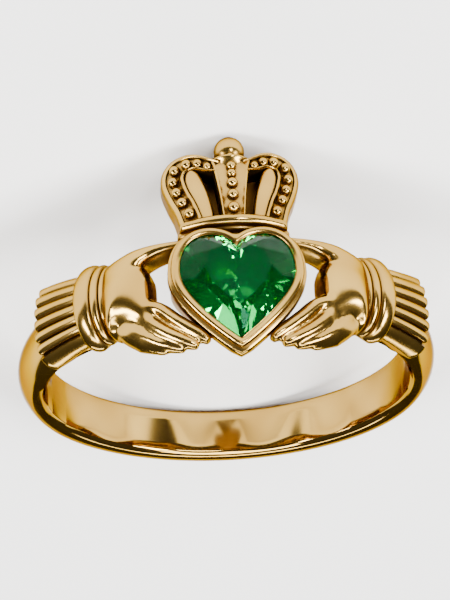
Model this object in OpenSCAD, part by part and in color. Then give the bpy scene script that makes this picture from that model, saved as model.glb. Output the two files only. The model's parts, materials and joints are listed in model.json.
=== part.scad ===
// Claddagh ring: two cuffed hands hold a heart-cut stone under a crown.
// The ring is drawn upright in its own frame: the finger hole's axis is Z, the head faces -Y
// and the crown points up. laid() then turns it over onto its side, as it rests on a table.

/* [Finger hole] */
// Diameter of the finger hole
finger_d = 17.3; // [15.5:0.1:20]

/* [Shank] */
// Width at the back of the finger
shank_w = 2.4; // [2:0.05:2.6]
// Width where it goes under the cuffs
shoulder_w = 2.9; // [2.6:0.05:3]
// Thickness at the back of the finger
shank_t = 1.45; // [1.3:0.05:1.7]
// Thickness where it goes under the cuffs
shoulder_t = 1.2; // [1.05:0.05:1.35]
// Bevel along the edges of the finger hole
edge_bevel = 0.18; // [0.1:0.02:0.25]
// How far the outer face is domed there
shank_dome = 0.76; // [0.4:0.02:0.8]

/* [Head] */
// Height of the heart's rim over the finger hole
head_d = 2.25; // [2.1:0.05:2.6]

/* [Stone] */
// Width of the heart-cut stone that shows
stone_w = 5; // [4.5:0.1:5.5]
// Height of the stone's crown over its girdle
stone_top = 0.5; // [0.3:0.05:0.7]
// Depth of its pavilion under the girdle
stone_depth = 1.5; // [1.2:0.05:1.55]
// Thickness of its girdle
girdle_t = 0.12; // [0.08:0.02:0.2]
// Depth of the girdle under the rim's top
girdle_sink = 0.12; // [0.1:0.01:0.2]
// Gap between the stone and its seat
stone_gap = 0.04; // [0.02:0.01:0.06]

/* [Setting] */
// Width of the polished rim round the stone
rim_w = 0.42; // [0.3:0.02:0.5]
// Depth of the rim down to the groove under it
rim_d = 0.36; // [0.3:0.02:0.45]
// How far the wall under the groove stands out past the rim
wall_out = 0.13; // [0.08:0.01:0.18]
// Depth of that wall
wall_d = 0.55; // [0.4:0.05:0.7]
// How far the rim laps over the girdle
lip = 0.08; // [0.06:0.01:0.12]

/* [Cuffs] */
// Angle from the head's middle to the cuff's outer end
cuff_a = 57; // [54:0.5:60]
// Half height of the cuff at its outer end
cuff_h = 2.05; // [1.9:0.05:2.3]
// How far the cuff's outer end stands over the finger hole
cuff_d = 2.15; // [2:0.05:2.4]
// Number of flutes round the cuff
flutes = 9; // [7:1:11]
// Depth of the flutes
flute_d = 0.22; // [0.1:0.02:0.3]

/* [Wrist rings] */
// Angle from the head's middle to the rings' outer side
wrist_a = 42; // [41:0.5:44]
// Half height of the large ring
wrist_h = 2.05; // [1.9:0.05:2.2]
// How far the large ring stands over the finger hole
wrist_d = 2.3; // [2.1:0.05:2.5]
// Widths of the large, middle and small rings
ring_widths = [0.8, 0.4, 0.28];

/* [Hands] */
// Half height of the back of the hand
palm_h = 1.75; // [1.5:0.05:1.9]
// How far the back of the hand stands over the finger hole
palm_d = 2.5; // [2.2:0.05:2.7]
// Half thickness of a finger at its root
finger_t = 0.36; // [0.32:0.01:0.4]

/* [Crown] */
// Height of the crown from its base moulding to the arches' tops
crown_h = 3.95; // [3.7:0.05:4.3]
// Half width of the base moulding
crown_base = 2.35; // [2.2:0.05:2.5]
// Height of the base moulding
base_h = 0.36; // [0.3:0.01:0.42]
// Half width between the middle lines of the side arches
arch_x = 2.57; // [2.3:0.01:2.7]
// Width of an arch
arch_w = 1; // [0.9:0.02:1.1]
// Width of the raised edge along each side of an arch
arch_edge = 0.14; // [0.1:0.01:0.18]
// Depth of the arch's floor between its edges
arch_sunk = 0.12; // [0.06:0.01:0.18]
// Diameter of the beads along the arches
bead_d = 0.46; // [0.36:0.01:0.5]
// Radius of the crown's bow, seen from above
crown_bow = 3.4; // [3.1:0.1:4]
// How far the crown's top leans back
crown_lean = 0.55; // [0.4:0.05:0.7]
// Thickness of the crown's back wall
crown_wall = 0.6; // [0.5:0.05:0.8]
// Diameter of the orb
orb_d = 1.38; // [1.2:0.02:1.5]

/* [Hidden] */

finger_r = finger_d/2;
head_r = finger_r + head_d;
// The head is cast with metal to spare inside the finger hole, and bored a hair wider than the shank
bore_stock = 0.2;
bore_gap = 0.03;
heart_half = stone_w/2;
heart_z = 0.05*heart_half;

// Placing and lofting

function around(a, r, z) = [r*sin(a), -r*cos(a), z];
function mix(a, b, t) = a*(1 - t) + b*t;
function unit(v) = v/norm(v);
function joined(lists) = [for (l = lists) for (v = l) v];
function mean(pts, i = 0) = i == len(pts) - 1 ? pts[i] : pts[i] + mean(pts, i + 1);
function bezier(p, t) = pow(1-t, 3)*p[0] + 3*pow(1-t, 2)*t*p[1] + 3*(1-t)*t*t*p[2] + pow(t, 3)*p[3];

// A smooth line through the rows of a table, read at a place counted in rows
function smooth_row(rows, s) =
    let (last = len(rows) - 1, i = min(floor(s), last - 1), t = s - i,
         a = rows[max(i - 1, 0)], b = rows[i], c = rows[i + 1], d = rows[min(i + 2, last)])
    (b*2 + (c - a)*t + (a*2 - b*5 + c*4 - d)*t*t + (b*3 - a - c*3 + d)*t*t*t)/2;

function smooth_rows(rows, steps) = [for (k = [0:1:steps]) smooth_row(rows, k*(len(rows) - 1)/steps)];

// A closed skin through loops of equally many points, capped by fans round the end loops' centres
module loft(loops) {
    n = len(loops[0]);
    m = len(loops);
    points = concat(joined(loops), [mean(loops[0])/n, mean(loops[m - 1])/n]);
    first = [for (i = [0:1:n-1]) [m*n, (i + 1)%n, i]];
    last = [for (i = [0:1:n-1]) [m*n + 1, (m-1)*n + i, (m-1)*n + (i + 1)%n]];
    sides = [for (j = [0:1:m-2], i = [0:1:n-1], half = [0, 1])
        let (a = j*n + i, b = j*n + (i + 1)%n, c = b + n, d = a + n)
        half == 0 ? [a, b, c] : [a, c, d]];
    polyhedron(points, concat(first, last, sides));
}

function squared(v, square) = sign(v)*pow(abs(v), 1 - square);

// A limb along rows of [angle, radius, height, half width, half depth], squarer as square rises
module limb(rows, sides, square = 0) {
    mids = [for (r = rows) around(r[0], r[1], r[2])];
    last = len(rows) - 1;
    loft([for (i = [0:1:last])
        let (along = unit(mids[min(i + 1, last)] - mids[max(i - 1, 0)]),
             out = around(rows[i][0], 1, 0),
             across = unit(cross(along, out)),
             up = cross(across, along))
        [for (k = [0:1:sides-1]) let (t = 360*k/sides)
            mids[i] + across*rows[i][3]*squared(cos(t), square) + up*rows[i][4]*squared(sin(t), square)]]);
}

// Both sides of the head
module both_sides() {
    children();
    mirror([1, 0, 0]) children();
}

// The heart's outline: half of it is two curves, in shares of half its width

heart_steps = 9;
heart_lobe = [[0, 0.44], [0.27, 0.82], [1, 0.77], [1, 0]];
heart_flank = [[1, 0], [1, -0.45], [0.29, -1.03], [0, -1.27]];
heart_right = concat([for (i = [0:1:heart_steps-1]) bezier(heart_lobe, i/heart_steps)],
                     [for (i = [0:1:heart_steps]) bezier(heart_flank, i/heart_steps)]);
heart_left = [for (i = [len(heart_right)-2:-1:1]) [-heart_right[i][0], heart_right[i][1]]];
heart_outline = [for (p = concat(heart_right, heart_left)) p*heart_half + [0, heart_z]];

function edge_out(a, b) = unit([a[1] - b[1], b[0] - a[0]]);
function moved(pts, d) = [for (i = [0:1:len(pts)-1])
    let (n = len(pts), e = edge_out(pts[(i + n - 1)%n], pts[i]), f = edge_out(pts[i], pts[(i + 1)%n]),
         m = unit(e + f))
    pts[i] + m*d/max(m*e, 0.93)];

// The outline moved outwards, with its two sides kept from crossing in the notch, where it starts
notch_w = 0.06;
function grown(pts, d) =
    let (out = moved(pts, d), last = len(pts) - 1, side = out[1])
    side[0] > notch_w ? out
    : concat([[0, side[1] + notch_w/4], [max(side[0], notch_w/2), side[1]]],
             [for (i = [2:1:last-1]) out[i]], [[-max(side[0], notch_w/2), side[1]]]);
function standing(pts, depth) = [for (p = pts) [p[0], -depth, p[1]]];
function drawn_in(pts, across, up) = [for (p = pts) [p[0]*across, heart_z + (p[1] - heart_z)*up]];

// Shank: a domed band, round outside about a centre moved towards the head, its sides cut to a taper

shank_end = wrist_a - 9;
shoulder_y = -finger_r*cos(cuff_a);
shank_shift = (shoulder_t - shank_t)/(1 + cos(cuff_a));
shank_r = finger_r + shank_t + shank_shift;
shank_back = finger_r + shank_t;
dome_r = (pow(shoulder_w/2, 2) + pow(shank_dome, 2))/(2*shank_dome);
taper = (shoulder_w - shank_w)/2/(shank_back - shoulder_y);
taper_a = atan(taper);
function shank_half(y) = shank_w/2 + taper*(shank_back - y);

module shank_profile() {
    intersection() {
        translate([shank_r - dome_r, 0]) circle(dome_r, $fn = 96);
        translate([finger_r - 1, -shoulder_w]) square([shank_r, 2*shoulder_w]);
    }
}

module shank_taper() {
    front = -shank_back - 1;
    rotate([90, 0, 90])
        linear_extrude(3*finger_r, center = true)
            polygon([[shank_back, -shank_half(shank_back)], [shank_back, shank_half(shank_back)],
                     [front, shank_half(front)], [front, -shank_half(front)]]);
}

// The finger hole, opened out by a bevel square to each tapered side, whose cone starts inside the hole
module finger_hole() {
    cylinder(6*finger_r, finger_r, finger_r, center = true, $fn = 96);
    for (side = [0, 180])
        rotate([0, side, 0]) translate([0, 0, shank_half(0)]) rotate([-taper_a, 0, 0])
            translate([0, 0, -2*edge_bevel])
                cylinder(3*edge_bevel, finger_r - edge_bevel, finger_r + 2*edge_bevel, $fn = 96);
}

module shank() {
    reach = 2*finger_r;
    difference() {
        intersection() {
            translate([0, -shank_shift, 0]) rotate_extrude($fn = 96) shank_profile();
            shank_taper();
        }
        finger_hole();
        linear_extrude(reach, center = true)
            polygon([[0, 0], [-reach*sin(shank_end), -reach*cos(shank_end)], [-reach*sin(shank_end), -2*reach],
                     [reach*sin(shank_end), -2*reach], [reach*sin(shank_end), -reach*cos(shank_end)]]);
    }
}

// Cuffs: fluted sleeves that flare towards the shank and end in a plain lip

sleeve_mid = 0.95;
sleeve_square = 0.2;
sleeve_foot = 0.66;

function sleeve_loop(a, h, d, ripple) =
    let (mid = finger_r + sleeve_mid, out = d - sleeve_mid, n = 4*flutes, inside = finger_r - bore_stock)
    concat([for (k = [0:1:n])
                let (t = -90 + 180*k/n, ridge = [0, 0.75, 1, 0.75][k%4], cut = ripple*(1 - ridge))
                around(a, mid + (out - cut)*squared(cos(t), sleeve_square),
                       (h - cut)*squared(sin(t), sleeve_square))],
           [around(a, inside, h*sleeve_foot), around(a, inside, -h*sleeve_foot)]);

module cuff() {
    start = wrist_a - 1;
    lip_a = 1;
    lip_out = 0.04;
    end_round = 0.1;
    stations = [for (s = [0, 0.5, 1])
        sleeve_loop(mix(start, cuff_a - lip_a, s), cuff_h*mix(0.82, 1, s), cuff_d*mix(0.88, 1, s),
                    flute_d*mix(0.7, 1, s))];
    lips = [for (s = [0, 1]) sleeve_loop(cuff_a - lip_a*(1 - s), cuff_h + lip_out, cuff_d + lip_out, 0)];
    ending = [sleeve_loop(cuff_a + lip_a*0.4, cuff_h - end_round, cuff_d - end_round, 0)];
    loft(concat(stations, lips, ending));
}

// Wrist rings: three rounded rings side by side, large to small

wrist_steps = 3;
arc_mm = PI*(finger_r + sleeve_mid)/180;
wrist_mm = ring_widths[0] + ring_widths[1] + ring_widths[2];
hand_root = wrist_a - wrist_mm/arc_mm;

function wrist_loop(a, size) =
    let (mid = finger_r + sleeve_mid, inside = finger_r - bore_stock, n = 14, h = wrist_h*size,
         out = (wrist_d - sleeve_mid)*size)
    concat([for (k = [0:1:n]) let (t = 100 - 200*k/n) around(a, mid + out*cos(t), h*sin(t))],
           [around(a, inside, -h*0.7), around(a, inside, h*0.7)]);

// The end loops are small, so that they lie inside the cuff and the hand
module wrist_rings() {
    ends = [0, ring_widths[0], ring_widths[0] + ring_widths[1], wrist_mm];
    sizes = [1, 0.93, 0.87];
    valley = 0.9;
    buried = 0.6;
    rings = [for (i = [0, 1, 2], k = [(i == 0 ? 0 : 1):1:wrist_steps])
        let (s = k/wrist_steps, size = k == wrist_steps && i < 2 ? sizes[i + 1] : sizes[i])
        wrist_loop(wrist_a - mix(ends[i], ends[i + 1], s)/arc_mm, size*mix(valley, 1, sin(180*s)))];
    loft(concat([wrist_loop(wrist_a + 0.6, buried)], rings, [wrist_loop(hand_root - 0.6, sizes[2]*buried)]));
}

// Hands: a rounded back, a thumb over the heart's shoulder and four fingers under its flank.
// Along the ring 0 is the wrist and 1 the index finger's tip. Heights are in shares of half the
// heart's width, depths over the finger hole in shares of the back of the hand's.

hand_tip = asin(0.53*heart_half/(finger_r + palm_d));

function hand_row(r) = [mix(hand_root, hand_tip, r[0]), finger_r + palm_d*r[1], heart_half*r[2], r[3], r[4]];

// Columns: along, depth of the middle, height of the middle, half width, half depth
palm_rows = [
    [-0.05, 0.38, -0.08, palm_h*0.96, palm_d*0.36],
    [0.06, 0.42, -0.08, palm_h*1.06, palm_d*0.46],
    [0.16, 0.45, -0.11, palm_h*1.10, palm_d*0.53],
    [0.25, 0.46, -0.17, palm_h*0.98, palm_d*0.53],
    [0.32, 0.46, -0.24, palm_h*0.72, palm_d*0.49],
    [0.38, 0.45, -0.32, palm_h*0.40, palm_d*0.42]];
thumb_rows = [
    [0.02, 0.42, 0.30, palm_h*0.44, palm_d*0.40],
    [0.16, 0.43, 0.38, palm_h*0.43, palm_d*0.46],
    [0.30, 0.43, 0.52, palm_h*0.36, palm_d*0.44],
    [0.42, 0.42, 0.63, palm_h*0.26, palm_d*0.38],
    [0.54, 0.42, 0.69, finger_t*0.90, palm_d*0.34],
    [0.68, 0.41, 0.72, finger_t*0.72, palm_d*0.32],
    [0.86, 0.40, 0.74, finger_t*0.68, palm_d*0.31]];
index_rows = [
    [0.31, 0.60, 0.02, finger_t*1.15, palm_d*0.30],
    [0.42, 0.63, -0.23, finger_t*1.10, palm_d*0.27],
    [0.53, 0.65, -0.50, finger_t*1.0, palm_d*0.24],
    [0.66, 0.65, -0.72, finger_t*0.98, palm_d*0.22],
    [0.78, 0.64, -0.90, finger_t*0.98, palm_d*0.20],
    [0.89, 0.64, -1.05, finger_t*0.80, palm_d*0.16],
    [0.98, 0.66, -1.20, finger_t*0.30, palm_d*0.07]];
middle_rows = [
    [0.26, 0.60, -0.28, finger_t*1.1, palm_d*0.29],
    [0.36, 0.62, -0.52, finger_t*1.14, palm_d*0.27],
    [0.47, 0.63, -0.77, finger_t*1.10, palm_d*0.24],
    [0.59, 0.64, -0.96, finger_t*1.02, palm_d*0.21],
    [0.71, 0.65, -1.10, finger_t*0.86, palm_d*0.17],
    [0.81, 0.66, -1.20, finger_t*0.62, palm_d*0.12],
    [0.885, 0.67, -1.28, finger_t*0.22, palm_d*0.05]];
ring_rows = [
    [0.20, 0.58, -0.58, finger_t*0.95, palm_d*0.27],
    [0.29, 0.59, -0.78, finger_t*0.94, palm_d*0.25],
    [0.39, 0.60, -0.95, finger_t*0.88, palm_d*0.22],
    [0.50, 0.60, -1.09, finger_t*0.80, palm_d*0.19],
    [0.60, 0.61, -1.18, finger_t*0.68, palm_d*0.15],
    [0.68, 0.62, -1.25, finger_t*0.48, palm_d*0.11],
    [0.745, 0.63, -1.30, finger_t*0.18, palm_d*0.05]];
little_rows = [
    [0.06, 0.52, -0.70, finger_t*0.95, palm_d*0.26],
    [0.18, 0.54, -0.83, finger_t*0.86, palm_d*0.23],
    [0.29, 0.55, -0.96, finger_t*0.76, palm_d*0.20],
    [0.39, 0.56, -1.07, finger_t*0.66, palm_d*0.17],
    [0.48, 0.56, -1.16, finger_t*0.52, palm_d*0.13],
    [0.54, 0.57, -1.23, finger_t*0.34, palm_d*0.09],
    [0.58, 0.58, -1.27, finger_t*0.15, palm_d*0.04]];

module hand() {
    limb([for (r = smooth_rows(palm_rows, 7)) hand_row(r)], 18, 0.12);
    limb([for (r = smooth_rows(thumb_rows, 7)) hand_row(r)], 12, 0.35);
    for (rows = [index_rows, middle_rows, ring_rows, little_rows])
        limb([for (r = smooth_rows(rows, 7)) hand_row(r)], 10, 0.1);
}

// Setting: the heart's wall, cut under towards the finger, the rim over it and the stone's seat in it

girdle_depth = head_r - girdle_sink;
seat_depth = girdle_depth - girdle_t - stone_gap;
groove_h = 0.08;
groove = head_r - rim_d;
wall_end = groove - groove_h - wall_d;
girdle_line = grown(heart_outline, lip);
rim_line = grown(heart_outline, rim_w);
wall_line = grown(heart_outline, rim_w + wall_out);

module setting() {
    rim_round = 0.16;
    opening = grown(heart_outline, stone_gap);
    pocket = grown(girdle_line, stone_gap);
    loft([standing(drawn_in(rim_line, 0.98, 0.76), finger_r - bore_stock),
          standing(drawn_in(rim_line, 1.01, 0.9), wall_end - wall_d/2),
          standing(wall_line, wall_end),
          standing(wall_line, groove - groove_h),
          standing(grown(heart_outline, rim_w*0.86), groove),
          standing(rim_line, groove + groove_h),
          standing(rim_line, head_r - rim_round),
          standing(grown(heart_outline, rim_w*0.8), head_r - rim_round/4),
          standing(grown(heart_outline, rim_w*0.5), head_r),
          standing(grown(heart_outline, rim_w*0.2), head_r - rim_round/8),
          standing(opening, girdle_depth + stone_gap*1.75),
          standing(pocket, girdle_depth + stone_gap/2),
          standing(pocket, seat_depth),
          standing(drawn_in(pocket, 0.67, 0.67), seat_depth - stone_depth*0.6),
          standing(drawn_in(pocket, 0.2, 0.2), seat_depth - stone_depth)]);
}

// Room inside the setting's skin, which the hands and the crown leave free
module setting_core() {
    core = grown(heart_outline, rim_w*0.6);
    loft([standing(drawn_in(core, 0.5, 0.5), seat_depth - stone_depth),
          standing(drawn_in(core, 0.8, 0.8), seat_depth - stone_depth*0.6),
          standing(core, wall_end),
          standing(core, head_r + rim_d)]);
}

// Crown: drawn from the front in X and Z, with its front bowed across and leaning back upwards

crown_z = heart_z + 0.94*heart_half;
crown_top = crown_z + crown_h;
function crown_front(x, z) = head_r - x*x/(2*crown_bow) - crown_lean*pow(max(0, (z - crown_z)/crown_h), 2);
function on_crown(x, z, back) = [x, -(crown_front(x, z) - back), z];
crown_back = finger_r + crown_wall*0.5;

// Mouldings across the crown's foot: rows of [height, depth behind the front] round the section
module moulding(half, rows) {
    steps = 8;
    back = bore_stock - finger_r;
    loft([for (i = [0:1:steps]) let (x = half*sin(-90 + 180*i/steps))
        concat([for (r = rows) on_crown(x, r[0], r[1])],
               [[x, back, rows[len(rows)-1][0]], [x, back, rows[0][0]]])]);
}

module base_mouldings() {
    low = crown_z;
    moulding(crown_base, [[low, 0.12], [low + base_h*0.3, 0], [low + base_h*0.7, 0], [low + base_h, 0.12]]);
    moulding(crown_base + 0.14, [[low - 0.24, 0.4], [low - 0.18, 0.26], [low + 0.04, 0.26], [low + 0.12, 0.34]]);
    moulding(crown_base*0.5, [[heart_z + 0.5*heart_half, 0.5], [low + base_h/2, 0.5]]);
}

// An arch along rows of [x, z, half width]
module arch(rows, steps) {
    line = smooth_rows(rows, steps);
    floor_w = 1 - 2*arch_edge/arch_w;
    section = [[1, 0.06], [mix(1, floor_w, 0.5), -0.01], [floor_w, arch_sunk], [0, arch_sunk - 0.02],
               [-floor_w, arch_sunk], [-mix(1, floor_w, 0.5), -0.01], [-1, 0.06]];
    loft([for (i = [0:1:steps])
        let (p = line[i], along = line[min(i + 1, steps)] - line[max(i - 1, 0)],
             side = unit([along[1], -along[0]]))
        concat([for (s = section) let (x = p[0] + side[0]*p[2]*s[0], z = p[1] + side[1]*p[2]*s[0])
                    on_crown(x, z, s[1])],
               [for (s = [-1, 1]) let (x = p[0] + side[0]*p[2]*s, z = p[1] + side[1]*p[2]*s)
                    [x, -sqrt(pow(crown_back, 2) - x*x), z]])]);
}

// Columns: x, z, half width, in shares of arch_x, crown_h and arch_w
side_arch_shares = [
    [0.735, 0.06, 0.49], [0.825, 0.265, 0.47], [0.925, 0.43, 0.47], [0.995, 0.585, 0.49],
    [1.015, 0.69, 0.51], [0.98, 0.785, 0.54], [0.895, 0.845, 0.52], [0.74, 0.866, 0.46],
    [0.58, 0.843, 0.39], [0.43, 0.787, 0.36], [0.25, 0.74, 0.30]];
middle_arch_shares = [[0, 0.06, 0.49], [0, 0.33, 0.59], [0, 0.575, 0.70], [0, 0.815, 0.84]];
function arch_rows(shares) = [for (r = shares) [r[0]*arch_x, crown_z + r[1]*crown_h, r[2]*arch_w]];

// A tongue inside the crown: a convex leaf of rows [x, z, half width]
tongue_shares = [[0.42, 0.07, 0.30], [0.465, 0.25, 0.33], [0.53, 0.40, 0.35], [0.59, 0.52, 0.36],
                 [0.645, 0.63, 0.34], [0.665, 0.71, 0.27], [0.665, 0.77, 0.10]];

module tongue(rows, steps) {
    line = smooth_rows(rows, steps);
    sides = 6;
    sunk = 0.22;
    round = 0.22;
    loft([for (i = [0:1:steps])
        let (p = line[i], along = line[min(i + 1, steps)] - line[max(i - 1, 0)],
             side = unit([along[1], -along[0]]))
        concat([for (k = [0:1:sides]) let (t = 180*k/sides, w = p[2]*cos(t), x = p[0] + side[0]*w)
                    on_crown(x, p[1] + side[1]*w, sunk + round*(1 - sin(t)))],
               [for (s = [-1, 1]) let (x = p[0] + side[0]*p[2]*s, z = p[1] + side[1]*p[2]*s)
                    [x, -sqrt(pow(crown_back, 2) - x*x), z]])]);
}

// Back wall: the crown's outline on a shell round the finger
module crown_wall_plate() {
    steps = 13;
    inset = 0.8;
    line = smooth_rows(arch_rows(side_arch_shares), steps);
    right = [for (i = [0:1:steps])
        let (p = line[i], along = line[min(i + 1, steps)] - line[max(i - 1, 0)],
             side = unit([along[1], -along[0]]))
        [p[0] + side[0]*p[2]*inset, p[1] + side[1]*p[2]*inset]];
    left = [for (i = [steps:-1:0]) [-right[i][0], right[i][1]]];
    intersection() {
        rotate([90, 0, 0]) linear_extrude(2*finger_r) polygon(concat(right, left));
        cylinder(3*crown_top, finger_r + crown_wall, finger_r + crown_wall, center = true, $fn = 72);
    }
}

// The orb on its collar, with a small bead at its foot
orb_r = orb_d/2;
orb_depth = crown_front(0, crown_top) - 0.6;
orb_z = crown_top + orb_r*0.04;

module orb() {
    foot_z = orb_z - orb_r*0.86;
    collar = orb_r*1.22;
    translate([0, -orb_depth, orb_z]) sphere(orb_r, $fn = 18);
    translate([0, -orb_depth, foot_z]) rotate(10) rotate_extrude($fn = 18)
        polygon([[0, -orb_d], [collar*0.7, -orb_d], [collar*0.9, -0.12], [collar, -0.06], [collar, 0.03],
                 [collar*0.83, 0.1], [0, 0.1]]);
    translate([0, -orb_depth - orb_r*0.72, foot_z + 0.16]) sphere(bead_d*0.36, $fn = 10);
}

// Beads: [x, z, size] in the arches' shares, the size in shares of bead_d
side_bead_shares = [[0.756, 0.18, 1.04], [0.864, 0.344, 1], [0.949, 0.497, 1], [1, 0.653, 1.02],
                    [0.963, 0.803, 1.04], [0.759, 0.843, 1.02], [0.57, 0.818, 0.9], [0.41, 0.755, 0.75]];
middle_bead_shares = [[0, 0.179, 1.04], [0, 0.347, 1], [0, 0.5, 1], [0, 0.629, 0.86], [0, 0.731, 0.92]];

module beads(shares) {
    for (b = shares) {
        x = b[0]*arch_x;
        z = crown_z + b[1]*crown_h;
        translate(on_crown(x, z, arch_sunk - bead_d*0.1)) sphere(bead_d*b[2]/2, $fn = 10);
    }
}

module crown() {
    base_mouldings();
    crown_wall_plate();
    arch(arch_rows(middle_arch_shares), 4);
    beads(middle_bead_shares);
    orb();
    both_sides() {
        arch(arch_rows(side_arch_shares), 16);
        tongue(arch_rows(tongue_shares), 6);
        beads(side_bead_shares);
    }
}

// The cast head: all that sits on the shank, in one mesh, bored for the finger
head_h = orb_z + orb_r - min([for (p = wall_line) p[1]]);

module head() {
    bore_r = finger_r + bore_gap;
    difference() {
        union() {
            difference() {
                union() {
                    both_sides() {
                        cuff();
                        wrist_rings();
                        hand();
                    }
                    crown();
                }
                setting_core();
            }
            setting();
        }
        rotate(2.5) cylinder(6*finger_r, bore_r, bore_r, center = true, $fn = 72);
    }
}

// Resting place: turned over, the ring lies on its orb and on the back edge of its shank

edge_r = shank_back - (dome_r - sqrt(pow(dome_r, 2) - pow(shank_w/2, 2)));
rest_dy = orb_depth + edge_r;
rest_dz = orb_z - shank_w/2;
rest_tilt = atan(rest_dz/rest_dy) + asin(orb_r/norm([rest_dy, rest_dz]));
rest_lift = orb_r + orb_z*cos(rest_tilt) - orb_depth*sin(rest_tilt);
rest_front = orb_depth*cos(rest_tilt) + orb_z*sin(rest_tilt) + orb_r;
rest_back = (shank_back - dome_r)*cos(rest_tilt) + dome_r;

module laid() {
    translate([0, (rest_front - rest_back)/2, rest_lift])
        rotate([-rest_tilt, 0, 0]) rotate([0, 180, 0]) children();
}

module ring_body() {
    color("goldenrod") laid() {
        shank();
        resize([0, 0, head_h]) head();
    }
}

// The stone: a table and a crown of star, kite and break facets, a thin girdle and a keeled
// pavilion. Every third point of the girdle carries a kite, the facets between meet halfway.
module heart_stone() {
    n = len(girdle_line);
    m = n/3;
    half_way = [for (i = [0:1:m-1]) (girdle_line[3*i + 1] + girdle_line[3*i + 2])/2];
    top = girdle_depth + stone_top;
    low = girdle_depth - girdle_t;
    table = standing(drawn_in([for (i = [0:1:m-1]) girdle_line[3*i]], 0.56, 0.56), top);
    stars = standing(drawn_in(half_way, 0.8, 0.8), girdle_depth + stone_top*0.58);
    keels = standing(drawn_in(half_way, 0.5, 0.5), low - stone_depth*0.58);
    points = concat(table, stars, standing(girdle_line, girdle_depth), standing(girdle_line, low), keels,
                    [[0, -top, heart_z], [0, -(low - stone_depth + 0.06), heart_z]]);
    s = m;
    g = 2*m;
    u = g + n;
    k = u + n;
    middle = k + m;
    faces = [for (i = [0:1:m-1])
        let (j = (i + 1)%m, h = (i + m - 1)%m, a = 3*i, b = (3*i + 3)%n)
        each [[middle, i, j], [j, i, s+i], [i, s+h, g+a], [i, g+a, s+i],
              [s+i, g+a, g+a+1], [s+i, g+a+1, g+a+2], [s+i, g+a+2, g+b],
              [k+i, u+a+1, u+a], [k+i, u+a+2, u+a+1], [k+i, u+b, u+a+2],
              [k+i, u+a, k+h], [k+i, k+h, middle+1]]];
    band = [for (i = [0:1:n-1]) let (j = (i + 1)%n) each [[g+j, g+i, u+i], [g+j, u+i, u+j]]];
    color("seagreen") laid() polyhedron(points, concat(faces, band));
}

ring_body();
heart_stone();
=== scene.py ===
import json
from math import asin, atan2, cos, degrees, hypot, pi, radians, sin, sqrt

import bmesh
import bpy
from mathutils import Matrix, Vector


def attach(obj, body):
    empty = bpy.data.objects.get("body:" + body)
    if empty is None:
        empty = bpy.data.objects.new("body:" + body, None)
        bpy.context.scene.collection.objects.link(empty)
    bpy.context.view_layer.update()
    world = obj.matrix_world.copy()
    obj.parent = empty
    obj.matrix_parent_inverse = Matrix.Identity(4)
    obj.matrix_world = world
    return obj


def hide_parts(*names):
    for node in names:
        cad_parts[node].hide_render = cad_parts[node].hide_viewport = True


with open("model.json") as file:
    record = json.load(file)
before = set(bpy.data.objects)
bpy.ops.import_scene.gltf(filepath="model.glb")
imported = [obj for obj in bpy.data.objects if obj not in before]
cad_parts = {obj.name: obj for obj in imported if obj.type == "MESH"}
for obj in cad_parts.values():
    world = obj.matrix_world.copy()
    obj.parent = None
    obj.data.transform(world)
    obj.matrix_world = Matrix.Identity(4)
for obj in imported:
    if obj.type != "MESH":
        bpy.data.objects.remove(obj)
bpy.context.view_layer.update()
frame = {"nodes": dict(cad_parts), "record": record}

# Finger hole
# Every piece is set out from the hole that the finger goes through, in millimetres, with the ring
# upright: its axis is Z, the head faces -Y and the crown points up. The finished ring lies on its
# side, crown down, so each piece is turned over with it when it is done.
hole = frame["record"]["mounts"][0]
finger_r = hole["dims"]["r_mm"]
to_crown = -Vector(hole["axis"]).normalized()
to_left = Vector((-1, 0, 0))
per_metre = 1000
turned = Matrix((to_left, to_crown.cross(to_left), to_crown)).transposed()
laid = Matrix.Translation(hole["pos_m"]) @ turned.to_4x4() @ Matrix.Scale(1 / per_metre, 4)
bore_gap = 0.02


def around(angle, radius, height):
    """A point at an angle in degrees from the head's middle."""
    a = radians(angle)
    return Vector((radius * sin(a), -radius * cos(a), height))


def mix(a, b, share):
    """The value at a share of the way from a to b."""
    return a * (1 - share) + b * share


# Cast gold
# 14 carat yellow gold, cast and then polished. The band is wheel-polished and nearly a mirror, the
# head is tumbled and a little softer. The grooves and recesses, out of reach, are painted dark brown:
# partly the pickle's oxide, partly painted shade.
def linear(hex_colour):
    """An sRGB hex colour as the linear colour that a shader takes."""
    parts = [int(hex_colour[i:i + 2], 16) / 255 for i in (1, 3, 5)]
    return [c / 12.92 if c <= 0.04045 else ((c + 0.055) / 1.055) ** 2.4 for c in parts] + [1]


def add_node(material, kind, links=(), **settings):
    """Adds a node. Settings name its properties and its sockets, links feed its sockets."""
    node = material.node_tree.nodes.new(kind)
    for key, value in settings.items():
        if hasattr(node, key):
            setattr(node, key, value)
        else:
            node.inputs[key.replace("_", " ")].default_value = value
    for socket, source in dict(links).items():
        material.node_tree.links.new(source, node.inputs[socket])
    return node


def new_material(name):
    material = bpy.data.materials.new(name)
    material.use_nodes = True
    material.node_tree.nodes.clear()
    return material


# The polishing mop leaves a slow swirl and fine scratches. Real scratches are finer than these, which
# are drawn as coarse as they need to show.
polish_mm = 1.7
polish_deep_mm = 0.07
scratch_mm = 0.06
scratch_deep_mm = 0.004
scratch_share = 0.05
# Grooves and recesses are painted dark brown: partly the pickle's oxide, partly painted shade.
groove_mm = 0.9
groove_open = 0.3
groove_gold = "#543814"
glancing_gold = "#B09A78"


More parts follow.
